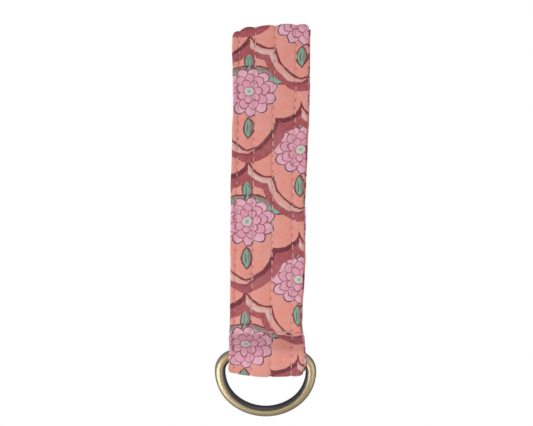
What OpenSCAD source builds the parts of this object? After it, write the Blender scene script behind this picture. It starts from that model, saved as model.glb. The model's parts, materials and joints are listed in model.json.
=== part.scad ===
// Wristlet keychain lying flat: a quilted cotton strap folded in half, with a brass D-ring in
// the pocket that a cross seam closes at its lower end. Millimetres. +X runs across the strap,
// +Y along it from the ring to the top fold, +Z up from the surface that it lies on.

/* [Strap] */
// Finished width of the strap
strap_w = 30; // [25:0.5:34]
// Length of the doubled strap from the ring's bar to the top fold
strap_l = 129.4; // [110:0.1:150]
// Thickness of one folded cotton layer, two plies of cloth
cotton_t = 0.5; // [0.4:0.05:0.6]
// Thickness of the interfacing between the cotton layers
core_t = 0.6; // [0.4:0.05:0.8]
// Air between the front leg and the back leg
leg_gap = 0.2; // [0.2:0.05:0.4]
// How far the interfacing stops short of each long edge
core_margin = 0.7; // [0.6:0.1:2]

/* [Stitching] */
// Distance of each lengthwise row from the closed left edge, as a share of the width
row_share = [0.09, 0.3, 0.547, 0.82]; // [0.05:0.001:0.95]
// Width of a row of topstitching
thread_w = 0.5; // [0.4:0.05:0.7]
// Depth that the thread sinks into the cotton
thread_t = 0.2; // [0.15:0.05:0.3]
// Distance between the two lines of the cross seam
seam_pitch = 1.2; // [1:0.1:2]
// How far the seams across the strap stop short of each long edge
line_margin = 2; // [1.5:0.1:3]

/* [Pocket] */
// Distance from the ring's bar up to the cross seam
seam_up = 7.1; // [7:0.1:8]
// Distance from the ring's bar down to the strap's lower end
fold_down = 8.3; // [8:0.1:12]
// Outside radius of the strap's lower end
fold_r = 2.6; // [2:0.1:3]
// Room round the bar inside the pocket
bar_room = 0.7; // [0.7:0.05:1]
// How far the pocket's side mouths widen towards the long edges
mouth_flare = 1.2; // [1.1:0.05:1.25]
// Length over which the mouths widen
flare_l = 2.4; // [2:0.1:3]

/* [D-ring] */
// Diameter of the brass wire
wire_d = 4.2; // [3.8:0.1:4.2]
// Clear width inside the ring
ring_in_w = 31.2; // [31:0.1:34]
// Centreline radius of the two corners beside the bar
corner_r = 6.2; // [6:0.1:6.4]
// Distance between the centres of a side's arc and the bow's arc
arc_step = 4; // [3.5:0.1:5]
// Width of the butt joint in the bar
joint_gap = 0.15; // [0.1:0.05:0.3]

/* [Wrist loop] */
// Distance from the ring's bar up to the lowest hinge
root_up = 10.9; // [10.5:0.1:12]
// Distance of the top hinges below the start of the top fold
crest_down = 1.2; // [1:0.1:2]
// Length of the lower and upper segment of each leg
end_segment = 36; // [30:1:40]
// Angle that each segment turns when the loop is open
open_angle = 50; // [30:1:50]

/* [Hidden] */
$fn = 64;
eps = 0.01;                                        // overshoot of a cutter past a face
past = 1;                                          // how far a body's share reaches past the strap
leg_t = 2 * cotton_t + core_t;                     // one leg of the strap
stack_t = 2 * leg_t + leg_gap;                     // both legs, one on the other
mid_z = stack_t / 2;                               // plane between the legs
turn_room = 0.06;                                  // air left between two segments at full turn
end_gap = leg_t / 2 * tan(open_angle / 2) + turn_room;
fit_gap = 0.02;                                    // air between the interfacing and the cotton

// The ring's centreline: its side and bow arcs meet on a 3-4-5 slope from the bow's centre
wire_r = wire_d / 2;
ring_half_w = ring_in_w / 2 + wire_r;
side_x = 0.6 * arc_step;
side_r = ring_half_w - side_x;
bow_y = 0.8 * arc_step - corner_r;
bow_r = side_r + arc_step;
ring_h = bow_r - bow_y;
step_heading = -atan2(4, 3);

room_r = wire_r + bar_room;                        // inside of the pocket round the bar
hump_r = room_r + leg_t;                           // outside of the pocket round the bar
bar_z = hump_r;
rest_tilt = asin((bar_z - wire_r) / ring_h);       // the bow lies on the surface
bow_reach = ring_h * cos(rest_tilt) + wire_r;      // from the bar to the bow's outside
total_l = strap_l + bow_reach;
bar_y = bow_reach - total_l / 2;
top_y = bar_y + strap_l;

fold_y = bar_y - fold_down + fold_r;
seam_y = bar_y + seam_up;
line_inset = 0.4;                                  // from the seam's start to its first line
first_line_y = seam_y + line_inset;
root_hinge_y = bar_y + root_up;
top_hinge_y = top_y - mid_z - crest_down;
low_hinge_y = root_hinge_y + end_segment;
high_hinge_y = top_hinge_y - end_segment;

web_dip = 0.02;                                    // depth of the stretch inside the circles' edges
flare_r = room_r + mouth_flare;                    // the mouths' radius at the strap's edges

// Y range and Z range of each body's share of the strap
POCKET = [[fold_y - fold_r - past, root_hinge_y - end_gap], [-past, 2 * hump_r + past]];
FRONT_LOW = [[root_hinge_y + end_gap, low_hinge_y - end_gap], [mid_z, stack_t + past]];
FRONT_MID = [[low_hinge_y + end_gap, high_hinge_y - end_gap], [mid_z, stack_t + past]];
FRONT_HIGH = [[high_hinge_y + end_gap, top_hinge_y - end_gap], [mid_z, stack_t + past]];
TOP_FOLD = [[top_hinge_y + end_gap, top_y + past], [-past, stack_t + past]];
BACK_HIGH = [[high_hinge_y + end_gap, top_hinge_y - end_gap], [-past, mid_z]];
BACK_MID = [[low_hinge_y + end_gap, high_hinge_y - end_gap], [-past, mid_z]];
BACK_LOW = [[root_hinge_y + end_gap, low_hinge_y - end_gap], [-past, mid_z]];

// Two circles in the side view that stand on one level line, and the strap stretched over them.
// The stretch leaves each circle a hair inside its edge, so that their outlines cross cleanly.
module belt(c1, r1, c2, r2) {
    span = c2 - c1;
    heading = atan2(span[1], span[0]);
    lean = heading + sign(span[0]) * acos((r1 - r2) / norm(span));
    function top(c, r) = c + (r - web_dip) * [cos(lean), sin(lean)];
    translate(c1) circle(r1);
    translate(c2) circle(r2);
    polygon([c1 - [0, r1], top(c1, r1), top(c2, r2), c2 - [0, r2]]);
}

// Side view of the whole folded strap, its outline moved inwards by depth
module strap_side(depth) {
    belt([bar_y, bar_z], hump_r - depth, [fold_y, fold_r], fold_r - depth);
    belt([bar_y, bar_z], hump_r - depth, [seam_y, mid_z], mid_z - depth);
    translate([seam_y, depth]) square([top_y - mid_z - seam_y, stack_t - 2 * depth]);
    translate([top_y - mid_z, mid_z]) circle(mid_z - depth);
}

// Stands a side view up in the YZ plane, from x = from to x = to
module across(from, to) {
    translate([from, 0, 0]) rotate([90, 0, 90]) linear_extrude(to - from) children();
}

// One layer of the strap between two depths, from x = from to x = to, within a body's share
module layer(share, outer, inner, from, to) {
    intersection() {
        difference() {
            across(from, to) strap_side(outer);
            across(from - past, to + past) strap_side(inner);
        }
        translate([from - past, share[0][0], share[1][0]])
            cube([to - from + 2 * past, share[0][1] - share[0][0], share[1][1] - share[1][0]]);
    }
}

// The pocket's side mouths widen, so that the ring's corners can turn in them
module mouths() {
    for (side = [-1, 1])
        translate([side * (strap_w / 2 - flare_l), bar_y, bar_z])
            rotate([0, side * 90, 0])
                cylinder(h = flare_l + eps, r1 = room_r, r2 = flare_r);
}

// Every lengthwise row, on the outer and the inner face of the leg
module rows(share) {
    for (part = row_share) {
        x = strap_w * (part - 0.5);
        layer(share, 0, thread_t, x - thread_w / 2, x + thread_w / 2);
        layer(share, leg_t - thread_t, leg_t, x - thread_w / 2, x + thread_w / 2);
    }
}

// A line of thread across the width, through the layers from z = low to z = high
module thread_line(y, low, high) {
    translate([-strap_w / 2 + line_margin, y - thread_w / 2, low])
        cube([strap_w - 2 * line_margin, thread_w, high - low]);
}

// Both lines of the cross seam, longer at each end by extra
module seam_lines(extra) {
    for (line = [0, 1])
        thread_line(first_line_y + line * seam_pitch, -extra, stack_t + extra);
}

// Slots for the threads in the strap's lower end, and the mouths for the ring
module pocket_cutters() {
    mouths();
    seam_lines(eps);
    thread_line(bar_y, -eps, leg_t + eps);
}

// Printed cotton, folded round the interfacing: closed at the left edge, open at the right
module strap_cover(share) {
    color("salmon") difference() {
        union() {
            layer(share, 0, cotton_t, -strap_w / 2, strap_w / 2);
            layer(share, leg_t - cotton_t, leg_t, -strap_w / 2, strap_w / 2);
            layer(share, 0, leg_t, -strap_w / 2, -strap_w / 2 + cotton_t);
        }
        rows(share);
    }
}

module strap_interfacing(share) {
    color("ivory")
        layer(share, cotton_t + fit_gap, leg_t - cotton_t - fit_gap,
              -strap_w / 2 + core_margin, strap_w / 2 - core_margin);
}

module strap_topstitch(share) {
    color("peachpuff") rows(share);
}

module pocket_cover() {
    difference() {
        strap_cover(POCKET);
        pocket_cutters();
    }
}

module pocket_interfacing() {
    difference() {
        strap_interfacing(POCKET);
        pocket_cutters();
    }
}

module pocket_topstitch() {
    difference() {
        strap_topstitch(POCKET);
        pocket_cutters();
    }
}

// Closes the pocket above the ring's bar
module cross_seam() {
    color("peachpuff") seam_lines(0);
}

// Joins the strip's two ends into a band, in the back layer behind the bar
module join_seam() {
    color("peachpuff") thread_line(bar_y, 0, leg_t);
}

// An arc of the wire about centre, through sweep degrees from heading
module wire_arc(centre, radius, heading, sweep) {
    translate(centre) rotate([0, 0, heading])
        rotate_extrude(angle = sweep) translate([radius, 0]) circle(wire_r);
}

// What lies to one side of the line on which a side arc meets the bow: turn is -1 or 1
module step_side(turn) {
    reach = 2 * ring_h;
    translate([0, bow_y, -reach / 2]) rotate([0, 0, step_heading])
        translate([0, min(0, turn * reach), 0]) cube(reach);
}

// One side of the ring, flat, with its bar on the X axis: half of the bar, the corner, the side
module ring_side() {
    bar_half_l = ring_half_w - corner_r;
    translate([joint_gap / 2, 0, 0]) rotate([0, 90, 0])
        cylinder(h = bar_half_l - joint_gap / 2, r = wire_r);
    wire_arc([bar_half_l, -corner_r, 0], corner_r, 0, 90);
    difference() {
        wire_arc([side_x, -corner_r, 0], side_r, -90, 90);
        step_side(-1);
    }
}

// D-ring of bent wire, butted in the middle of its bar
module d_ring() {
    color("darkgoldenrod") translate([0, bar_y, bar_z]) rotate([rest_tilt, 0, 0]) {
        ring_side();
        mirror([1, 0, 0]) ring_side();
        difference() {
            wire_arc([0, bow_y, 0], bow_r, 180, 180);
            step_side(1);
            mirror([1, 0, 0]) step_side(1);
        }
    }
}

pocket_cover();
pocket_interfacing();
pocket_topstitch();
cross_seam();
join_seam();
d_ring();
strap_cover(FRONT_LOW);  // front_low_cover
strap_interfacing(FRONT_LOW);  // front_low_interfacing
strap_topstitch(FRONT_LOW);  // front_low_topstitch
strap_cover(FRONT_MID);  // front_mid_cover
strap_interfacing(FRONT_MID);  // front_mid_interfacing
strap_topstitch(FRONT_MID);  // front_mid_topstitch
strap_cover(FRONT_HIGH);  // front_high_cover
strap_interfacing(FRONT_HIGH);  // front_high_interfacing
strap_topstitch(FRONT_HIGH);  // front_high_topstitch
strap_cover(TOP_FOLD);  // top_fold_cover
strap_interfacing(TOP_FOLD);  // top_fold_interfacing
strap_topstitch(TOP_FOLD);  // top_fold_topstitch
strap_cover(BACK_HIGH);  // back_high_cover
strap_interfacing(BACK_HIGH);  // back_high_interfacing
strap_topstitch(BACK_HIGH);  // back_high_topstitch
strap_cover(BACK_MID);  // back_mid_cover
strap_interfacing(BACK_MID);  // back_mid_interfacing
strap_topstitch(BACK_MID);  // back_mid_topstitch
strap_cover(BACK_LOW);  // back_low_cover
strap_interfacing(BACK_LOW);  // back_low_interfacing
strap_topstitch(BACK_LOW);  // back_low_topstitch
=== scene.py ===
"""Wristlet keychain, looks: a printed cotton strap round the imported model, in mm scaled to metres."""

import json
import math

import bpy
import numpy as np
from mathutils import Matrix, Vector


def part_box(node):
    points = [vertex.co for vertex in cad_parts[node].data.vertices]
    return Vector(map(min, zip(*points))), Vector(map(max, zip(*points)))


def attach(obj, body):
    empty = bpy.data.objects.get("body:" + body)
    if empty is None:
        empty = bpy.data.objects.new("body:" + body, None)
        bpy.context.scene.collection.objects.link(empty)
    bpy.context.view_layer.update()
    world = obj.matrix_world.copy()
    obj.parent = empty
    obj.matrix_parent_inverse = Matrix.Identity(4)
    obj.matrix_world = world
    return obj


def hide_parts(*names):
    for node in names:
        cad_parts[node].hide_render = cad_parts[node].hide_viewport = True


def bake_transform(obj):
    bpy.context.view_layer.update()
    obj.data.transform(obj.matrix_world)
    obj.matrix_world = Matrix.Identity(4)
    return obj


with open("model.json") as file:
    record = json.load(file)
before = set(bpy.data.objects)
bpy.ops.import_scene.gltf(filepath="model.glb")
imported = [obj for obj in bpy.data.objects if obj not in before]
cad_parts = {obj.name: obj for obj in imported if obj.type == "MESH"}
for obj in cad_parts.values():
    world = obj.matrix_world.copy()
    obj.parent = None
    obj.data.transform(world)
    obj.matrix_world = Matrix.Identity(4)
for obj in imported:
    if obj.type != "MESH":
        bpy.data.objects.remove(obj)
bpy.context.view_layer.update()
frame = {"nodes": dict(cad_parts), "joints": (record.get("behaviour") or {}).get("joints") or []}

MM = 0.001

RING_IN_W = 31.2                              # clear width inside the D-ring
RING_H = 22.3                                 # from the ring's bar to its bow, centre to centre
RING_MIDDLE = 4.4                             # from the bar down to the middle of the ring's opening

# ---------------------------------------------------------------- places taken from the frame, in mm


def corners(node):
    return tuple(np.array(corner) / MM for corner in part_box(node))


def hinge(name):
    joint = next(j for j in frame["joints"] if j["name"] == name)
    return np.array(joint["pos_m"]) / MM


front_low, front_high = corners("front_mid_cover")
HALF_W = front_high[0]                        # half of the strap's width
LEG = front_high[2] - front_low[2]            # thickness of one leg
MID_Z = front_high[2] / 2                     # plane between the legs
FRONT_Z = front_high[2] - LEG / 2
BACK_Z = corners("back_mid_cover")[1][2] / 2
TOP_Y = corners("top_fold_cover")[1][1]
END_Y = corners("pocket_cover")[0][1]         # the strap's lower end
BAR = hinge("ring_swing")
ROOT_Y, LOW_Y = hinge("loop_open")[1], hinge("front_bend_low")[1]
HIGH_Y, CREST_Y = hinge("front_bend_high")[1], hinge("front_fold")[1]
SEAM_Y = corners("cross_seam")[0][1]
FOLD_R = 2.6                                  # outside radius of the strap's lower end
WIRE_R = (corners("d_ring")[1][0] - corners("d_ring")[0][0] - RING_IN_W) / 4
BAR_R = BAR[2]                                # outside radius of the pocket round the bar

# ---------------------------------------------------------------- the strip's route, side view


def tangent_angle(c1, r1, c2, r2):
    """Heading of the upper line that touches two circles, seen as the normal's angle."""
    dy, dz = c2[0] - c1[0], c2[1] - c1[1]
    return math.atan2(dz, dy) + math.copysign(math.acos((r1 - r2) / math.hypot(dy, dz)), dy)


def route():
    """(y, z, normal angle, length) along the strip's middle layer, from under the bar, round the
    lower end, over the bar, up the front, round the top fold and down the back."""
    half = LEG / 2
    fold, bar, seam = (END_Y + FOLD_R, FOLD_R), (BAR[1], BAR[2]), (SEAM_Y - 0.15, MID_Z)
    r_fold, r_bar, r_seam, r_top = FOLD_R - half, BAR_R - half, MID_Z - half, MID_Z - half
    rise = tangent_angle(bar, r_bar, fold, r_fold)
    rise += 2 * math.pi if rise < 0 else 0
    fall = tangent_angle(bar, r_bar, seam, r_seam)
    turns = [
        (bar[0], half, None, -90, -90),
        (fold[0], fold[1], r_fold, -90, math.degrees(rise) - 360),
        (bar[0], bar[1], r_bar, math.degrees(rise) - 360, math.degrees(fall) - 360),
        (seam[0], seam[1], r_seam, math.degrees(fall) - 360, -270),
        (TOP_Y - MID_Z, MID_Z, r_top, -270, -450),
        (bar[0], half, None, -450, -450),
    ]
    points = []
    for y, z, r, first, last in turns:
        steps = 1 if r is None else max(2, int(abs(last - first) / 3))
        for i in range(steps + (r is not None)):
            angle = math.radians(first + (last - first) * i / steps)
            r_here = 0 if r is None else r
            points.append((y + r_here * math.cos(angle), z + r_here * math.sin(angle), angle))
    points = np.array(points)
    length = np.concatenate([[0], np.cumsum(np.hypot(*np.diff(points[:, :2], axis=0).T))])
    return np.column_stack([points, length])


ROUTE = route()
STRIP = ROUTE[-1, 3]                          # length of the whole band


def at(s):
    """y, z and the outward normal of the middle layer at a length s along the strip."""
    s = np.mod(s, STRIP)
    y, z, angle = (np.interp(s, ROUTE[:, 3], ROUTE[:, i]) for i in range(3))
    return y, z, np.cos(angle), np.sin(angle)


def length_at(y, front):
    """Length along the strip at which the front or the back leg passes a given y."""
    top = int(np.argmax(ROUTE[:, 0]))
    part = ROUTE[: top + 1] if front else ROUTE[top:]
    keep = np.abs(part[:, 1] - (FRONT_Z if front else BACK_Z)) < 1e-6
    part = part[keep]
    order = np.argsort(part[:, 0])
    return float(np.interp(y, part[order, 0], part[order, 3]))


TOP_S = length_at(TOP_Y - MID_Z, True) + math.pi / 2 * (MID_Z - LEG / 2)
V_ZERO = length_at(0, True)                   # where the print's own height is zero
SEAM_LINE_Y = SEAM_Y + 0.25                   # the cross seam's lower line
SEAM_FRONT, SEAM_BACK = length_at(SEAM_LINE_Y, True), length_at(SEAM_LINE_Y, False)

# ---------------------------------------------------------------- the cloth's own shape

ROW_X = [-12.2, -5.8, 1.8, 9.9]               # the four rows of topstitching, across the strap
PITCH = 3.1                                   # length of one topstitch with its gap
JOIN_S = 0.9                                  # where the seam that joins the strip's ends runs
JOG, JOG_RISE = (-1.5, 0.7), 1.35             # where the cross seam jogs, and how far
LAP = 0.75                                    # how far the outer flap stops short of the inner one
FLAP = 0.45                                   # thickness of a folded cotton flap
CORE_HALF = 0.12                              # least height of a flap's inner skin over the middle layer
FACE = 0.80                                   # height of a leg's face over its middle layer
SEAM_HALF = 0.75                              # how far from a seam the cloth is drawn in
DEEPEST = 0.46                                # most that stitches draw a face in
# The pocket's side mouths: how near the bar, how far from the middle, and the lengths they open over
MOUTH_REACH, MOUTH_FADE, MOUTH_X, MOUTH_FLARE = 5.2, 1.2, 12.2, 2.4
MOUTH_OUT, MOUTH_IN = 0.62, 0.45              # how far the lower flap opens there, outside and inside
TOP_REACH, LOWER_REACH = 26, 7                # how far from the ends their unevenness fades out
# How far the two ends stand out of line, at places across the strap: the top fold is sewn askew
TOP_EDGE = np.array([
    (-15, -4.5), (-14.4, -3.8), (-13.2, -3.0), (-12, -2.55), (-9.7, -1.65), (-6.2, -1.25), (-1.5, -0.8),
    (5.5, -0.15), (10.2, -0.1), (13.7, -0.2), (15, -0.9),
])
LOWER_EDGE = np.array([
    (-15, 1.7), (-13.9, 1.0), (-12.3, 0.42), (-10, 0.26), (-7.6, -0.05), (-5, -0.44), (0, -0.6), (6.4, -0.3),
    (12.7, -0.1), (14.2, 0.3), (15, 1.0),
])


def smooth(t):
    t = np.clip(t, 0, 1)
    return t * t * (3 - 2 * t)


def waves(a, b, seed, scale):
    """A soft random height, about -1 to 1, over two lengths."""
    rng = np.random.default_rng(seed)
    total = 0
    for _ in range(7):
        heading, phase = rng.uniform(0, 2 * math.pi), rng.uniform(0, 2 * math.pi)
        size = rng.uniform(0.6, 1.7)
        k = 2 * math.pi / (scale * size)
        total = total + np.sin(k * (a * math.cos(heading) + b * math.sin(heading)) + phase)
    return total / 3.2


# Distance above the bar, shift of the middle and half width, where the strap's outline changes
OUTLINE = np.array([
    (-8.5, 0.3, 14.75), (-3, 0.4, 14.95), (6.5, 0.1, 14.75), (11, -0.3, 14.1), (20, -0.2, 14.2),
    (37, 0.1, 14.6), (60, -0.2, 14.55), (76, 0.0, 14.7), (96, 0.5, 14.9), (124, 0.1, 15.15), (130, 0.1, 15.1),
])


def edges(y, s):
    """Left and right edge of the strap at a place along it."""
    up = y - BAR[1]
    middle, half = (np.interp(up, OUTLINE[:, 0], OUTLINE[:, i]) for i in (1, 2))
    return middle - half + 0.10 * waves(s, 0, 3, 14), middle + half + 0.12 * waves(s, 0, 4, 11)


def row_x(row, s):
    """A row of topstitching wanders a little across the strap."""
    return ROW_X[row] + 0.28 * waves(s, 9 * row, 21 + row, 70)


def nearest_row(x, s):
    away = np.stack([x - row_x(row, s) for row in range(4)])
    return np.take_along_axis(away, np.abs(away).argmin(0)[None], 0)[0]


def seam_s(x):
    """Where the cross seam runs over the front: it jogs upwards half way across."""
    return SEAM_FRONT + JOG_RISE * smooth((x - JOG[0]) / (JOG[1] - JOG[0]))


def mouth(x, s):
    """1 where the pocket's side mouths open round the bar, fading to 0."""
    y, z = at(s)[:2]
    near_bar = smooth((MOUTH_REACH - np.hypot(y - BAR[1], z - BAR[2])) / MOUTH_FADE)
    return near_bar * smooth((np.abs(x) - MOUTH_X) / MOUTH_FLARE)


def pull(x, s):
    """How deep the stitches draw one face in."""
    dx = nearest_row(x, s)
    phase = 0.5 + 0.5 * np.cos(2 * math.pi * s / PITCH)
    tight = 1 + 0.4 * smooth(-9 - x)              # the first row is drawn tighter
    crease = 0.24 * np.exp(-((dx / 0.5) ** 2)) * (1 + 0.35 * phase)
    hollow = 0.13 * np.exp(-((dx / 1.7) ** 2))
    front, back, join = (np.exp(-(((s - seam) / SEAM_HALF) ** 2)) for seam in (seam_s(x), SEAM_BACK, JOIN_S))
    return np.minimum(tight * (crease + hollow) + 0.30 * (front + back + join), DEEPEST)


def face_height(x, s):
    """Height of the outer or inner face over the strap's middle layer."""
    return FACE - pull(x, s) + 0.045 * waves(x, s, 7, 9)


def puff(x, s):
    """The front swells a little between the rows, and more at the top fold."""
    dx = np.abs(nearest_row(x, s))
    front = smooth((s - SEAM_FRONT - 4) / 8) * smooth((TOP_S + 1 - s) / 3)
    crest = np.exp(-(((s - TOP_S) / 2.2) ** 2))
    channel = smooth(dx / 2.6)
    return channel * (0.13 * front * (1 + 0.5 * waves(x, s, 8, 13)) + 0.16 * crest)


def place(x, n, s):
    """World position, in mm, of a point n above the middle layer at x across and s along."""
    y, z, ny, nz = at(s)
    y, z = y + n * ny, z + n * nz
    near_top = smooth((y - (TOP_Y - TOP_REACH)) / TOP_REACH)
    y = y + near_top * np.interp(x, TOP_EDGE[:, 0], TOP_EDGE[:, 1])
    near_end = smooth((END_Y + LOWER_REACH - y) / LOWER_REACH)
    y = y + near_end * np.interp(x, LOWER_EDGE[:, 0], LOWER_EDGE[:, 1])
    return np.stack([x, y, z], -1) * MM


# ---------------------------------------------------------------- meshes


def face_samples():
    """Places across one face, from edge to edge as 0 to 1: closer together at the rows."""
    u = set(np.round(np.linspace(0, 1, 45), 4))
    for x in ROW_X:
        for step in (-0.9, -0.6, -0.3, 0, 0.3, 0.6, 0.9):
            u.add(round((x + step + HALF_W) / (2 * HALF_W), 4))
    u = sorted(v for v in u if 0 <= v <= 1)
    return np.array([v for i, v in enumerate(u) if i == 0 or v - u[i - 1] > 0.005])


ACROSS = face_samples()
FOLD_STEPS = 9                                # points round the closed left edge
END_STEPS = 4                                 # points round a flap's folded edge


def flap_section(s):
    """Outer and inner skin of the folded cotton at lengths s: from the outer flap's open edge,
    round the closed left edge, to the inner flap's open edge. Also the unrolled width."""
    s = s[:, None]
    y_here = at(s)[0]
    left, right = edges(y_here, s)
    fold_x = left + LEG / 2
    outer_end, inner_end = right - LAP, right
    x_top = outer_end + (fold_x - outer_end) * (1 - ACROSS[::-1][None])
    x_low = fold_x + (inner_end - fold_x) * ACROSS[None]
    turn = np.linspace(0, math.pi, FOLD_STEPS + 2)[1:-1][None]
    h_top = face_height(x_top, s) + puff(x_top, s)
    h_low = face_height(x_low, s)
    round_off = 0.22 * np.exp(-(((x_top - outer_end) / 0.5) ** 2))
    h_top = h_top - round_off
    in_top = np.maximum(h_top - FLAP, CORE_HALF)
    open_low = mouth(x_low, s)
    h_low = h_low - MOUTH_OUT * open_low
    in_low = np.maximum(h_low - FLAP, CORE_HALF - MOUTH_IN * open_low)
    r_out = h_top[:, -1:] + (h_low[:, :1] - h_top[:, -1:]) * turn / math.pi
    r_in = in_top[:, -1:] + (in_low[:, :1] - in_top[:, -1:]) * turn / math.pi
    x_out = np.concatenate([x_top, fold_x - r_out * np.sin(turn), x_low], 1)
    n_out = np.concatenate([h_top, r_out * np.cos(turn), -h_low], 1)
    x_in = np.concatenate([x_top, fold_x - r_in * np.sin(turn), x_low], 1)
    n_in = np.concatenate([in_top, r_in * np.cos(turn), -in_low], 1)
    bend = LEG / 2 * (turn + 0 * s)
    u = np.concatenate([x_top, left + LEG / 2 - bend, 2 * fold_x - math.pi * LEG / 2 - x_low], 1)
    return x_out, n_out, x_in, n_in, u


def flap_edge(x_a, n_a, x_b, n_b):
    """Points that round a flap's folded edge, from (x_a, n_a) to (x_b, n_b), bulging to +x."""
    t = np.linspace(0, math.pi, END_STEPS + 2)[1:-1][None]
    middle_n, half = (n_a + n_b) / 2, (n_a - n_b) / 2
    return (x_a + x_b) / 2 + np.abs(half) * 1.1 * np.sin(t), middle_n + half * np.cos(t)


def closed_mesh(name, grid, caps, uv, rows=None):
    """A closed tube from grid[ring, point], its two ends filled by the faces in caps, with sharp rims."""
    rings, around = grid.shape[:2]
    i, j = np.meshgrid(np.arange(rings - 1), np.arange(around), indexing="ij")
    k = (j + 1) % around
    below, above = i * around, (i + 1) * around
    walls = np.stack([below + j, above + j, above + k, below + k], -1).reshape(-1, 4)
    last = (rings - 1) * around
    faces = walls.tolist() + [list(c) for c in caps] + [[last + v for v in reversed(c)] for c in caps]
    mesh = bpy.data.meshes.new(name)
    mesh.from_pydata(grid.reshape(-1, 3).tolist(), [], faces)
    mesh.polygons.foreach_set("use_smooth", [True] * len(faces))
    ends = np.array([e.vertices[:] for e in mesh.edges])
    sharp = mesh.attributes.new("sharp_edge", "BOOLEAN", "EDGE")
    sharp.data.foreach_set("value", ((ends < around).all(1)) | ((ends >= last).all(1)))
    corner = np.empty(len(mesh.loops), int)
    mesh.loops.foreach_get("vertex_index", corner)
    for label, values in (("Strip", uv), ("Rows", rows)):
        if values is not None:
            layer = mesh.uv_layers.new(name=label)
            layer.data.foreach_set("uv", values.reshape(-1, 2)[corner].ravel())
    mesh.validate()
    obj = bpy.data.objects.new(name, mesh)
    bpy.context.collection.objects.link(obj)
    return obj


def lengths(first, last, step=0.42):
    """Lengths from first to last, closer together round the folds. The band's start gets a tight pair."""
    if first < 0 < last:
        return np.concatenate([lengths(first, -0.002, step), lengths(0.002, last, step)])
    s = [first]
    while s[-1] < last - 1e-6:
        fine = s[-1] < SEAM_FRONT + 3
        s.append(min(last, s[-1] + (0.25 if abs(s[-1] - TOP_S) < 3.2 else 0.36 if fine else step)))
    if len(s) > 2 and s[-1] - s[-2] < 0.1:
        s.pop(-2)
    return np.array(s)


def cover(name, first, last):
    """A length of the folded cotton, as a closed solid with a C-shaped section."""
    s = np.mod(lengths(first, last), STRIP)
    x_out, n_out, x_in, n_in, u = flap_section(s)
    low_x, low_n = flap_edge(x_out[:, -1:], n_out[:, -1:], x_in[:, -1:], n_in[:, -1:])
    top_x, top_n = flap_edge(x_in[:, :1], n_in[:, :1], x_out[:, :1], n_out[:, :1])
    x = np.concatenate([x_out, low_x, x_in[:, ::-1], top_x], 1)
    n = np.concatenate([n_out, low_n, n_in[:, ::-1], top_n], 1)
    unrolled = np.concatenate([u, u[:, -1:] - 0 * low_x, u[:, ::-1], u[:, :1] + 0 * top_x], 1)
    along = s[:, None] + 0 * x
    dx = nearest_row(x, along)
    grid = place(x, n, along)
    skin, edge = x_out.shape[1], END_STEPS
    inner = [2 * skin + edge - 1 - v for v in range(skin)]
    caps = [(v, v + 1, inner[v + 1], inner[v]) for v in range(skin - 1)]
    caps.append([skin - 1, *range(skin, skin + edge), inner[-1]])
    caps.append([inner[0], *range(2 * skin + edge, 2 * skin + 2 * edge), 0])
    uv = np.stack([unrolled * MM * 10, along * MM * 10], -1)
    rows = np.stack([dx * 0.1, along / PITCH * 0.1], -1)
    return closed_mesh(name, grid[::-1], caps, uv[::-1], rows[::-1])


def core(name, first, last):
    """A length of the interfacing, between the flaps."""
    s = np.mod(lengths(first, last, 1.2), STRIP)[:, None]
    left, right = edges(at(s)[0], s)
    x = left + 0.75 + (right - LAP - 0.5 - left - 0.75) * ACROSS[None]
    up = np.minimum(0.27, np.maximum(face_height(x, s) - FLAP, CORE_HALF) - 0.03)
    x = np.concatenate([x, x[:, ::-1]], 1)
    n = np.concatenate([up, -up[:, ::-1]], 1)
    along = s + 0 * x
    count = len(ACROSS)
    caps = [(v, v + 1, 2 * count - 2 - v, 2 * count - 1 - v) for v in range(count - 1)]
    uv = np.stack([x * MM * 10, along * MM * 10], -1)
    return closed_mesh(name, place(x, n, along), [c[::-1] for c in caps], uv)


def stitch_rings(centre, side, up, length, radius=0.165, sink=0, rings=7, around=8):
    """One stitch: a short arched thread whose ends dive into their needle holes."""
    t = np.linspace(-1, 1, rings)
    turn = np.linspace(0, 2 * math.pi, around, endpoint=False)
    ahead = np.cross(side, up)
    lift = 0.10 - sink - 0.40 * np.abs(t) ** 4
    thick = radius * (1 - 0.35 * np.abs(t) ** 6)
    spine = centre + np.outer(t * length / 2, ahead) + np.outer(lift, up)
    thick = thick[:, None, None]
    ring = np.outer(np.cos(turn), side)[None] * thick + np.outer(np.sin(turn), up)[None] * thick
    return (spine[:, None] + ring) * MM


def thread_piece(name, stitches):
    """Many stitches as one piece of separate closed solids."""
    verts, faces, uvs = [], [], []
    for grid in stitches:
        rings, around = grid.shape[:2]
        base = len(verts)
        verts += grid.reshape(-1, 3).tolist()
        for i in range(rings - 1):
            for j in range(around):
                k = (j + 1) % around
                faces.append((base + i * around + j, base + i * around + k,
                              base + (i + 1) * around + k, base + (i + 1) * around + j))
        faces.append([base + v for v in reversed(range(around))])
        faces.append([base + (rings - 1) * around + v for v in range(around)])
        uvs += [(j / around, i / (rings - 1)) for i in range(rings) for j in range(around)]
    mesh = bpy.data.meshes.new(name)
    mesh.from_pydata(verts, [], faces)
    mesh.polygons.foreach_set("use_smooth", [True] * len(faces))
    corner = np.empty(len(mesh.loops), int)
    mesh.loops.foreach_get("vertex_index", corner)
    layer = mesh.uv_layers.new(name="Thread")
    layer.data.foreach_set("uv", np.array(uvs)[corner].ravel())
    obj = bpy.data.objects.new(name, mesh)
    bpy.context.collection.objects.link(obj)
    return obj


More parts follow.
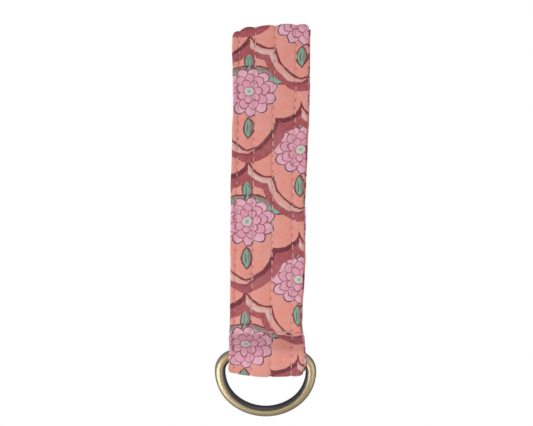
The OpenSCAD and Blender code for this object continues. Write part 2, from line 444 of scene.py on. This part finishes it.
def surface(x, s, outer):
    """Point and unit axes of the outer or inner face: position, across, out."""
    h = face_height(x, s) + (puff(x, s) if outer else 0)
    h = h if outer else -h
    here, ahead = place(x, h, s) / MM, place(x, h, s + 0.3) / MM
    along = ahead - here
    along /= np.linalg.norm(along)
    out = np.array([0, *at(s)[2:]]) * (1 if outer else -1)
    out -= along * out.dot(along)
    out /= np.linalg.norm(out)
    return here, along, out


def row_stitches(first, last):
    """The topstitches between two lengths, on both faces of the leg."""
    rng = np.random.default_rng(11)
    found = []
    for row in range(4):
        for index in range(int(STRIP / PITCH)):
            s = (index + 0.5) * PITCH
            s -= STRIP if first < 0 and s > last else 0
            jitter, twist, grow = (rng.uniform(-most, most) for most in (0.07, 0.05, 0.12))
            if not first <= s < last:
                continue
            for outer in (True, False):
                x = np.array(float(row_x(row, np.array(s)))) + jitter
                here, along, out = surface(x, np.array(s), outer)
                side = np.cross(out, along) + twist * along
                side /= np.linalg.norm(side)
                sink = 0.12 * (row == 0) + abs(grow)  # the first row lies deep in its crease
                found.append(stitch_rings(here, side, out, 2.4 + grow, sink=sink))
    return found


def across_stitches(x_from, x_to, s_of, outer, pitch=2.9, seed=5):
    """A line of stitches across the strap, at the length that s_of gives for each x."""
    rng = np.random.default_rng(seed)
    found = []
    for index in range(int((x_to - x_from) / pitch)):
        x = np.array(x_from + (index + 0.5) * pitch)
        s = np.array(float(s_of(x))) + rng.uniform(-0.1, 0.1)
        here, along, out = surface(x, s, outer)
        ahead = surface(x + 0.3, s, outer)[0] - here
        ahead /= np.linalg.norm(ahead)
        side = np.cross(out, ahead)
        side /= np.linalg.norm(side)
        length = 2.65 + rng.uniform(-0.15, 0.15)
        found.append(stitch_rings(here, side, out, length, radius=0.2, sink=-0.1))
    return found


# ---------------------------------------------------------------- shader arithmetic


class Field:
    """A number that varies over a surface, so that a pattern can be written as arithmetic."""

    def __init__(self, tree, socket):
        self.tree, self.socket = tree, socket

    def math(self, kind, *others):
        node = self.tree.nodes.new("ShaderNodeMath")
        node.operation = kind
        for slot, value in zip(node.inputs, (self, *others)):
            if isinstance(value, Field):
                self.tree.links.new(value.socket, slot)
            else:
                slot.default_value = value
        return Field(self.tree, node.outputs[0])

    def __add__(self, other):
        return self.math("ADD", other)

    def __sub__(self, other):
        return self.math("SUBTRACT", other)

    def __mul__(self, other):
        return self.math("MULTIPLY", other)

    def __truediv__(self, other):
        return self.math("DIVIDE", other)

    def __neg__(self):
        return self * -1.0

    def __abs__(self):
        return self.math("ABSOLUTE")

    def low(self, other):
        return self.math("MINIMUM", other)

    def floor(self):
        return self.math("FLOOR")

    def wave(self):
        return self.math("SINE")

    def ranged(self, start, end):
        """0 at start and 1 at end, straight between them."""
        node = self.tree.nodes.new("ShaderNodeMapRange")
        self.tree.links.new(self.socket, node.inputs["Value"])
        node.inputs["From Min"].default_value = start
        node.inputs["From Max"].default_value = end
        return Field(self.tree, node.outputs["Result"])


def hypot(x, y):
    return (x * x + y * y).math("SQRT")


def inside(distance, soft=0.13):
    """1 where a distance is below zero, with a soft edge."""
    return distance.ranged(soft, -soft)


def line(distance, width):
    return inside(abs(distance) - width / 2)


def ink(distance, width, hand):
    """A drawn line whose width varies with the hand."""
    return inside(abs(distance) - (hand * (width * 0.3) + width / 2))


def leaf(x, y, heading, half_length, half_width):
    """Distance to a pointed leaf that lies along heading, in degrees from upright."""
    c, s = math.cos(math.radians(heading)), math.sin(math.radians(heading))
    across, along = abs(x * c + y * s), y * c - x * s
    radius = (half_length ** 2 + half_width ** 2) / (2 * half_width)
    return hypot(across + (radius - half_width), along) - radius


class Paint:
    """A colour built up in layers."""

    def __init__(self, tree, colour):
        self.tree, self.colour = tree, colour

    def over(self, colour, mask):
        node = self.tree.nodes.new("ShaderNodeMix")
        node.data_type = "RGBA"
        self.tree.links.new(mask.socket, node.inputs["Factor"])
        for slot, value in (("A", self.colour), ("B", colour)):
            socket = next(i for i in node.inputs if i.name == slot and i.type == "RGBA")
            if isinstance(value, Paint):
                value = value.colour
            if isinstance(value, tuple):
                socket.default_value = (*value, 1)
            else:
                self.tree.links.new(value, socket)
        self.colour = next(o for o in node.outputs if o.type == "RGBA")
        return self


def srgb(r, g, b):
    """A colour given as 0 to 255 display values, as the linear colour that a shader takes."""
    return tuple(v / 255 / 12.92 if v < 11 else ((v / 255 + 0.055) / 1.055) ** 2.4 for v in (r, g, b))


def coordinates(tree, label):
    """Across and along, in mm, from one of the strap's UV maps."""
    node = tree.nodes.new("ShaderNodeUVMap")
    node.uv_map = label
    split = tree.nodes.new("ShaderNodeSeparateXYZ")
    tree.links.new(node.outputs["UV"], split.inputs[0])
    return Field(tree, split.outputs["X"]) * 100.0, Field(tree, split.outputs["Y"]) * 100.0


def noise(tree, x, y, scale, seed, detail=2.0):
    """A soft random field, about -1 to 1, whose lumps are scale mm across."""
    join = tree.nodes.new("ShaderNodeCombineXYZ")
    for slot, value in (("X", x / scale), ("Y", y / scale)):
        tree.links.new(value.socket, join.inputs[slot])
    join.inputs["Z"].default_value = seed
    node = tree.nodes.new("ShaderNodeTexNoise")
    node.inputs["Scale"].default_value = 1.0
    node.inputs["Detail"].default_value = detail
    tree.links.new(join.outputs[0], node.inputs["Vector"])
    return (Field(tree, node.outputs["Fac"]) - 0.5) * 2.6


# ---------------------------------------------------------------- materials


def material(name):
    mat = bpy.data.materials.new(name)
    mat.use_nodes = True
    return mat, mat.node_tree, mat.node_tree.nodes["Principled BSDF"]


CORAL, PEACH = srgb(239, 152, 138), srgb(233, 166, 154)
BURGUNDY, DUST, WINE = srgb(172, 82, 90), srgb(186, 108, 112), srgb(114, 44, 57)
PINK, ROSE, PALE = srgb(233, 169, 194), srgb(220, 136, 171), srgb(238, 198, 212)
CREAM, JADE, OLIVE = srgb(216, 208, 202), srgb(122, 184, 160), srgb(148, 132, 120)

COLUMN, REPEAT = 20.4, 50.6                   # spacing of the print's columns, and its height
FIRST_X, FIRST_Y, DROP = -8.1, -0.6, 28.2     # a flower's place, and how far the next column is up
BAND = 5.0                                    # width of the bands round a scallop
TIP = 23.0                                    # from a flower's middle down to its scallop's tip


def scallop(x, y):
    """Distance to a lobed scallop that hangs with its tip at y = -TIP."""
    lobe_r = 14.6
    lobe_low = math.sqrt(lobe_r ** 2 - 4.0 ** 2)
    tip_lobe = hypot(abs(x) + 4.0, y + (TIP - lobe_low)) - lobe_r
    shoulder = hypot(abs(x) - 11.6, y + 1.2) - 9.6
    return tip_lobe.low(shoulder).low(-y - 3.0)


def nearest_scallop(x, y):
    """Coordinates in the topmost scallop that covers a point, and the distance to its outline.
    Each scallop lies over the ones below it, and neighbouring columns are staggered."""
    column = ((x - FIRST_X) / COLUMN).floor()
    found = []
    for step in (0, 1):
        index = column + float(step)
        odd = index - (index / 2.0).floor() * 2.0
        here_x = x - FIRST_X - index * COLUMN
        above = y - FIRST_Y - odd * DROP + (TIP + BAND)
        here_y = above - (above / REPEAT).floor() * REPEAT - (TIP + BAND)
        found.append((here_x, here_y, scallop(here_x, here_y)))
    (ax, ay, ad), (bx, by, bd) = found
    a_covers, b_covers = ad.math("LESS_THAN", BAND), bd.math("LESS_THAN", BAND)
    a_lower = ay.math("LESS_THAN", by)
    take_a = a_covers * (a_lower + (-b_covers + 1.0)).low(1.0)
    pick = lambda p, q: q + (p - q) * take_a
    return pick(ax, bx), pick(ay, by), pick(ad, bd)


def scallop_print(tree, x, y):
    """The printed colour: staggered scallops, each with a flower and four leaves."""
    wobble_x = noise(tree, x, y, 5.0, 1.0) * 0.55 + noise(tree, x, y, 1.3, 2.0) * 0.18
    wobble_y = noise(tree, x, y, 5.5, 3.0) * 0.55 + noise(tree, x, y, 1.4, 4.0) * 0.18
    x, y, edge = nearest_scallop(x + wobble_x, y + wobble_y)
    wash, grain = noise(tree, x, y, 9.0, 5.0), noise(tree, x, y, 2.2, 6.0)
    hand = noise(tree, x, y, 2.8, 19.0)
    paint = Paint(tree, CORAL).over(PEACH, (wash * 0.9 + 0.35).ranged(0.0, 1.0))

    # bands round the scallop: a wine line, peach with a cream crescent on the left, then burgundy
    left = x.ranged(3.0, -5.0)
    paint.over(PEACH, inside(-edge))
    width = left * 2.4 + 0.35
    paint.over(CREAM, line(edge - 1.9, 1.2) * left * noise(tree, x, y, 6.0, 7.0).ranged(-0.35, 0.2))
    dusty = Paint(tree, BURGUNDY).over(DUST, (grain * 0.9 + hand * 0.5).ranged(-0.1, 1.2) * 0.8)
    paint.over(dusty, inside(width - edge))
    paint.over(WINE, inside(abs(edge - width - 0.5) - 0.5) * (-left + 1.0))
    paint.over(WINE, ink(edge, 0.8, hand))

    # a bud above the flower, a leaf below it, and one on each side
    for middle, length in ((12.0, 4.6), (-14.2, 4.2)):
        shape = leaf(x, y - middle, 0, length, 1.95)
        paint.over(OLIVE, inside(shape))
        paint.over(JADE, inside(shape + 0.3) * (x + grain * 0.9).ranged(0.6, 0.2))
        paint.over(WINE, ink(shape, 0.6, hand))
        paint.over(WINE, ink(x + 0.5, 0.35, hand) * inside(shape + 1.0))
    side = leaf(abs(x) - 7.2, y - 6.6, 62, 7.4, 2.5)
    paint.over(OLIVE, inside(side))
    paint.over(JADE, inside(side + 0.3) * (y * 0.7 + abs(x) * 0.35 + grain * 0.8).ranged(7.6, 6.9))
    paint.over(WINE, ink(side, 0.6, hand))

    # the flower: three rings of round petals and a pale heart
    turn, reach = y.math("ARCTAN2", x), hypot(x, y * 1.15)
    outer, second, middle = (abs((turn * half_count + start).wave())
                             for half_count, start in ((5.5, 0.3), (4.5, 0.9), (3.5, 1.1)))
    petals, row, ring = reach - outer * 2.1 - 8.9, reach - second * 1.8 - 6.3, reach - middle * 1.5 - 3.9
    heart = reach - 2.1 - grain * 0.3
    tint = Paint(tree, PINK).over(PALE, (grain * 1.1 + 0.4).ranged(0.0, 1.0)).over(
        ROSE, noise(tree, x, y, 3.2, 8.0).ranged(0.25, 0.9))
    paint.over(PALE, inside(petals - 0.5))
    paint.over(tint, inside(petals + 0.4))
    paint.over(WINE, ink(petals, 0.65, hand))
    paint.over(BURGUNDY, inside(outer - 0.17 - hand * 0.06, 0.1) * inside(petals))
    for lobes, shape in ((second, row), (middle, ring)):
        paint.over(tint, inside(shape))
        paint.over(ROSE, inside(shape + 0.7, 0.8) * 0.4)
        paint.over(BURGUNDY, ink(shape, 0.55, hand))
        paint.over(BURGUNDY, inside(lobes - 0.14 - hand * 0.06, 0.1) * inside(shape))
    paint.over(CREAM, inside(heart))
    paint.over(BURGUNDY, ink(heart, 0.4, hand))
    paint.over(JADE, inside(hypot(x, y) - 0.7) * 0.8)
    return paint


def weave(tree, x, y):
    """Height of a plain weave, -1 to 1, with thick and thin yarns."""
    count = 2 * math.pi / 0.46
    warp, weft = (x * count).wave(), (y * count).wave()
    yarns = noise(tree, x * 5.0, y * 0.35, 1.0, 9.0) + noise(tree, x * 0.35, y * 5.0, 1.0, 10.0)
    return warp * weft * 0.45 + yarns * 0.4


def bump(tree, shader, height, depth):
    """Roughens a surface by a height field whose unit is depth mm."""
    node = tree.nodes.new("ShaderNodeBump")
    node.inputs["Distance"].default_value = depth * MM
    tree.links.new(height.socket, node.inputs["Height"])
    tree.links.new(node.outputs[0], shader.inputs["Normal"])


def printed_cotton():
    """Plain-weave cotton, printed, with painted shade in its creases, along the cross seam and in its needle
    holes, and painted shade and highlight over its weave.
    """
    mat, tree, shader = material("printed_cotton")
    x, s = coordinates(tree, "Strip")
    paint = scallop_print(tree, x, s - V_ZERO)
    away, along = coordinates(tree, "Rows")
    away, along = away / 10.0, along / 10.0
    phase = along - along.floor() - 0.5
    hole = hypot(away * 0.8, (abs(phase) - 0.5) * PITCH) - 0.2
    cloth, faded = weave(tree, x, s), noise(tree, x, s, 14.0, 11.0)
    uneven, mottle = noise(tree, x, s, 2.6, 20.0), noise(tree, x, s, 0.9, 21.0)
    seam = abs(s - x.ranged(*JOG) * JOG_RISE - SEAM_FRONT)
    first_row = x.ranged(-9.0, -11.0)
    # painted shade: the creases along the rows of stitches are darker, most of all at the first row
    shade = srgb(120, 58, 62)
    crease = inside(abs(away + 0.1) - 0.25, 0.45) * uneven.ranged(-1.0, 1.0)
    paint.over(shade, crease * (first_row * 0.3 + 0.4))
    # painted shade along the cross seam
    paint.over(shade, inside(seam - 0.3, 0.5) * inside(abs(x) - HALF_W, 0.5) * 0.45)
    # painted shade in the needle holes
    paint.over(WINE, inside(hole, 0.12) * uneven.ranged(-0.6, 0.5))
    # painted shade in the weave's low places and painted highlight on its high ones, on top of the yarns' own
    # uneven tone
    paint.over(srgb(135, 70, 74), cloth.ranged(0.2, -0.9) * 0.26)
    paint.over(srgb(236, 212, 206), cloth.ranged(0.1, 1.0) * 0.2)
    paint.over(srgb(222, 186, 180), faded.ranged(0.1, 1.2) * 0.22)
    paint.over(srgb(244, 214, 206), mottle.ranged(0.1, 1.0) * 0.2)
    paint.over(srgb(140, 74, 80), mottle.ranged(-0.15, -1.0) * 0.22)
    tree.links.new(paint.colour, shader.inputs["Base Color"])
    tree.links.new((cloth * 0.06 + 0.86).socket, shader.inputs["Roughness"])
    shader.inputs["Specular IOR Level"].default_value = 0.22
    shader.inputs["Sheen Weight"].default_value = 0.1
    bump(tree, shader, cloth, 0.06)
    return mat


def sewing_thread():
    """Spun polyester, twisted from two plies."""
    mat, tree, shader = material("sewing_thread")
    around, along = coordinates(tree, "Thread")
    ply = ((around * 2.0 / 100.0 + along * 5.0 / 100.0) * (2 * math.pi)).wave()
    fuzz = noise(tree, around, along, 14.0, 12.0)
    shadow = (ply * 0.6 + fuzz * 0.4).ranged(0.4, -0.9) * 0.6
    paint = Paint(tree, srgb(240, 200, 186)).over(srgb(196, 132, 122), shadow)
    tree.links.new(paint.colour, shader.inputs["Base Color"])
    shader.inputs["Roughness"].default_value = 0.72
    shader.inputs["Sheen Weight"].default_value = 0.15
    bump(tree, shader, ply + fuzz * 0.4, 0.03)
    return mat


def interfacing():
    """Off-white fleece of fibres pressed flat."""
    mat, tree, shader = material("interfacing")
    x, s = coordinates(tree, "Strip")
    fibres = noise(tree, x, s * 0.25, 0.5, 13.0, 4.0) + noise(tree, x * 0.25, s, 0.5, 14.0, 4.0)
    paint = Paint(tree, srgb(236, 231, 220)).over(srgb(196, 188, 172), fibres.ranged(0.2, -1.2) * 0.7)
    tree.links.new(paint.colour, shader.inputs["Base Color"])
    shader.inputs["Roughness"].default_value = 0.95
    bump(tree, shader, fibres, 0.06)
    return mat


def antique_brass():
    """Brass plate, brushed, and oxidised on the ring's inner side; its outside paled by a painted highlight,
    with a band of polish and painted highlight along the oxide.
    """
    mat, tree, shader = material("antique_brass")
    source = tree.nodes.new("ShaderNodeTexCoord")
    axes = []
    for output in ("Object", "Normal"):
        split = tree.nodes.new("ShaderNodeSeparateXYZ")
        tree.links.new(source.outputs[output], split.inputs[0])
        axes.append([Field(tree, split.outputs[axis]) for axis in "XYZ"])
    (x, y, z), (nx, ny, nz) = axes
    x, y, z = x / MM, y / MM - BAR[1], z / MM - BAR[2]
    tilt = math.asin((BAR[2] - WIRE_R) / RING_H)
    down = y * math.cos(tilt) + z * math.sin(tilt) + RING_MIDDLE
    inwards = -(nx * x + (ny * math.cos(tilt) + nz * math.sin(tilt)) * down) / hypot(x, down)
    turn = down.math("ARCTAN2", x)
    streaks = noise(tree, turn * 3.0, inwards * 9.0, 1.0, 16.0, 3.0)
    blotches = noise(tree, turn * 7.0, inwards * 2.0, 2.2, 17.0, 4.0)
    specks = noise(tree, turn * 18.0, inwards * 2.1, 0.45, 18.0)
    facing = inwards - down * 0.011           # the oxide is a little wider round the bow
    oxide = (facing + blotches * 0.03 + specks * 0.015).ranged(0.40, 0.48)
    # a lighter band along the edge of the oxide: polish from wear, and a painted highlight
    polish_and_highlight = inside(abs(facing - 0.22) - 0.05, 0.12) * (blotches + 0.6).ranged(0.0, 1.0)
    stain = (blotches * 0.8 + specks * 0.5 - inwards * 0.3).ranged(0.25, 1.3)
    brushing = (streaks * 0.8 + 0.5).ranged(0.0, 1.0)
    paint = Paint(tree, (0.60, 0.446, 0.23)).over((0.42, 0.307, 0.148), brushing)
    paint.over((0.24, 0.18, 0.10), stain * 0.5)
    paint.over((0.74, 0.567, 0.33), polish_and_highlight * 0.6)
    # painted highlight: the outer side of the ring is paler and lighter
    paint.over((0.70, 0.64, 0.50), (inwards + streaks * 0.1).ranged(0.1, -0.4) * 0.5)
    paint.over((0.10, 0.11, 0.12), oxide)
    tree.links.new(paint.colour, shader.inputs["Base Color"])
    shader.inputs["Metallic"].default_value = 1
    tree.links.new((oxide * -0.03 - polish_and_highlight * 0.06 + streaks * 0.04 + 0.5).socket, shader.inputs["Roughness"])
    bump(tree, shader, streaks + specks * 0.5, 0.012)
    return mat


# ---------------------------------------------------------------- camera, lights and floor

PHOTO_W = 533                                 # width of the picture, in pixels
MM_PER_PIXEL = 0.39
LEAN = math.radians(0.9)                      # the keychain lies a little askew in the view
VIEW_X, VIEW_Y, FRONT_PLANE = -0.6, 2.7, 3.4  # what the middle of the picture shows
DISTANCE = 450


def camera():
    data = bpy.data.cameras.new("camera")
    data.lens = data.sensor_width * (DISTANCE - FRONT_PLANE) / (PHOTO_W * MM_PER_PIXEL)
    data.clip_end = 10
    obj = bpy.data.objects.new("camera", data)
    obj.location = Vector((VIEW_X, VIEW_Y, DISTANCE)) * MM
    obj.rotation_euler = (0, 0, LEAN)
    bpy.context.collection.objects.link(obj)
    bpy.context.scene.camera = obj


def area_light(name, place_mm, size_mm, power):
    data = bpy.data.lights.new(name, "AREA")
    data.shape = "RECTANGLE"
    data.size, data.size_y = size_mm[0] * MM, size_mm[1] * MM
    data.energy = power
    obj = bpy.data.objects.new(name, data)
    obj.location = Vector(place_mm) * MM
    obj.rotation_euler = (Vector((0, 0, 0)) - obj.location).to_track_quat("-Z", "Y").to_euler()
    bpy.context.collection.objects.link(obj)


def studio():
    """Soft white light from above that fades towards the horizon."""
    world = bpy.data.worlds.new("studio")
    world.use_nodes = True
    tree = world.node_tree
    source = tree.nodes.new("ShaderNodeTexCoord")
    split = tree.nodes.new("ShaderNodeSeparateXYZ")
    tree.links.new(source.outputs["Generated"], split.inputs[0])
    height = Field(tree, split.outputs["Z"])
    background = tree.nodes["Background"]
    tree.links.new((height.ranged(-0.1, 0.8) * 0.23 + 0.215).socket, background.inputs["Strength"])
    background.inputs["Color"].default_value = (1, 1, 1, 1)
    bpy.context.scene.world = world
    bpy.context.scene.view_settings.view_transform = "Standard"
    area_light("key", (-330, -230, 330), (260, 260), 1.55)
    area_light("fill", (380, -120, 300), (300, 300), 0.5)
    area_light("back", (40, 420, 320), (300, 300), 0.38)


def stage_piece(name, points, faces):
    """A white surface, too bright for shadows, that the brass doesn't mirror."""
    mesh = bpy.data.meshes.new(name)
    mesh.from_pydata([Vector(point) * MM for point in points], [], faces)
    obj = bpy.data.objects.new(name, mesh)
    obj.visible_glossy = False
    bpy.context.collection.objects.link(obj)
    mat, tree, shader = material(name)
    shader.inputs["Base Color"].default_value = (0, 0, 0, 1)
    shader.inputs["Specular IOR Level"].default_value = 0
    shader.inputs["Emission Color"].default_value = (1, 1, 1, 1)
    shader.inputs["Emission Strength"].default_value = 1.0
    mesh.materials.append(mat)
    return obj


def stage():
    """A table below the lowest point of the opened loop, and a round wall that gives no light."""
    half, low, high, steps = 3000, -34, 3000, 64
    square = ((-half, -half), (half, -half), (half, half), (-half, half))
    stage_piece("floor", [(x, y, low) for x, y in square], [(0, 1, 2, 3)])
    turns = [2 * math.pi * i / steps for i in range(steps)]
    points = [(math.cos(t) * half, math.sin(t) * half, z) for z in (low - 1, high) for t in turns]
    wall = stage_piece("backdrop", points,
                       [(i, (i + 1) % steps, steps + (i + 1) % steps, steps + i) for i in range(steps)])
    wall.visible_diffuse = wall.visible_transmission = wall.visible_shadow = False


# ---------------------------------------------------------------- the strap's lengths

CUT_Y = [ROOT_Y - 0.95, (ROOT_Y + LOW_Y) / 2, (LOW_Y + HIGH_Y) / 2, (HIGH_Y + CREST_Y) / 2]
FRONT_CUTS = [length_at(y, True) for y in CUT_Y]
BACK_CUTS = [length_at(y, False) for y in CUT_Y]
BACK_END = length_at(ROOT_Y, False)
BEND = 11                                     # half of the length over which a leg bends

# body, the body before it, from, to, and where the bend between the two starts and ends
SECTIONS = [
    ("front_low", "pocket", FRONT_CUTS[0], FRONT_CUTS[1], ROOT_Y - 0.9, ROOT_Y + 0.9),
    ("front_mid", "front_low", FRONT_CUTS[1], FRONT_CUTS[2], LOW_Y - BEND, LOW_Y + BEND),
    ("front_high", "front_mid", FRONT_CUTS[2], FRONT_CUTS[3], HIGH_Y - BEND, HIGH_Y + BEND),
    ("top_fold", "front_high", FRONT_CUTS[3], TOP_S, CREST_Y - 1.8, CREST_Y + 1.4),
    ("back_high", "top_fold", TOP_S, BACK_CUTS[3], CREST_Y + 1.4, CREST_Y - 1.8),
    ("back_mid", "back_high", BACK_CUTS[3], BACK_CUTS[2], HIGH_Y + BEND, HIGH_Y - BEND),
    ("back_low", "back_mid", BACK_CUTS[2], BACK_END, LOW_Y + BEND, LOW_Y - BEND),
]


def finish_piece(obj, mat, body, before=None, bend=None):
    """Gives a piece its material. Without before, it is attached to its body; with before, its placement is
    only baked into its mesh and it gets no body.
    """
    obj.data.materials.append(mat)
    if before is None:
        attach(obj, body)
    else:
        bend[0] * MM
        bend[1] * MM
        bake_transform(obj)


def strap_length(body, first, last, mats, before=None, bend=None):
    """One length of the strap: its cotton, its interfacing and its topstitching."""
    cotton = cover("cotton_" + body, first, last)
    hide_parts(body + "_cover")
    (last - first) * MM
    finish_piece(cotton, mats["cotton"], body, before, bend)
    fleece = core("interfacing_" + body, first, last)
    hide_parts(body + "_interfacing")
    finish_piece(fleece, mats["core"], body, before, bend)
    rows = thread_piece("topstitch_" + body, row_stitches(first, last))
    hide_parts(body + "_topstitch")
    finish_piece(rows, mats["thread"], body, before, bend)


camera()
studio()
stage()
MATS = {"cotton": printed_cotton(), "core": interfacing(), "thread": sewing_thread(),
        "brass": antique_brass()}

strap_length("pocket", BACK_END - STRIP, FRONT_CUTS[0], MATS)
for body, before, first, last, bend_from, bend_to in SECTIONS:
    strap_length(body, first, last, MATS, before, (bend_from, bend_to))

# the cross seam: two lines that meet at the jog, back-tacked at the left edge, and one line behind
lower = across_stitches(-13.2, 1.0, seam_s, True)
upper = across_stitches(0.3, 13.0, seam_s, True, seed=6)
back_tack = across_stitches(-12.6, -6.5, lambda x: seam_s(x) + 0.7 + 0.05 * (x + 9), True, seed=7)
behind = across_stitches(-13.0, 13.0, lambda x: SEAM_BACK, True, seed=8)
cross = thread_piece("cross_seam_thread", lower + upper + back_tack + behind)
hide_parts("cross_seam")
finish_piece(cross, MATS["thread"], "pocket")

join = thread_piece("join_seam_thread", across_stitches(-13.0, 13.0, lambda x: JOIN_S, True, seed=9)
                    + across_stitches(-11.5, 11.5, lambda x: JOIN_S, False, seed=10))
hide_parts("join_seam")
finish_piece(join, MATS["thread"], "pocket")

ring = frame["nodes"]["d_ring"]
ring.data.materials.clear()
ring.data.materials.append(MATS["brass"])
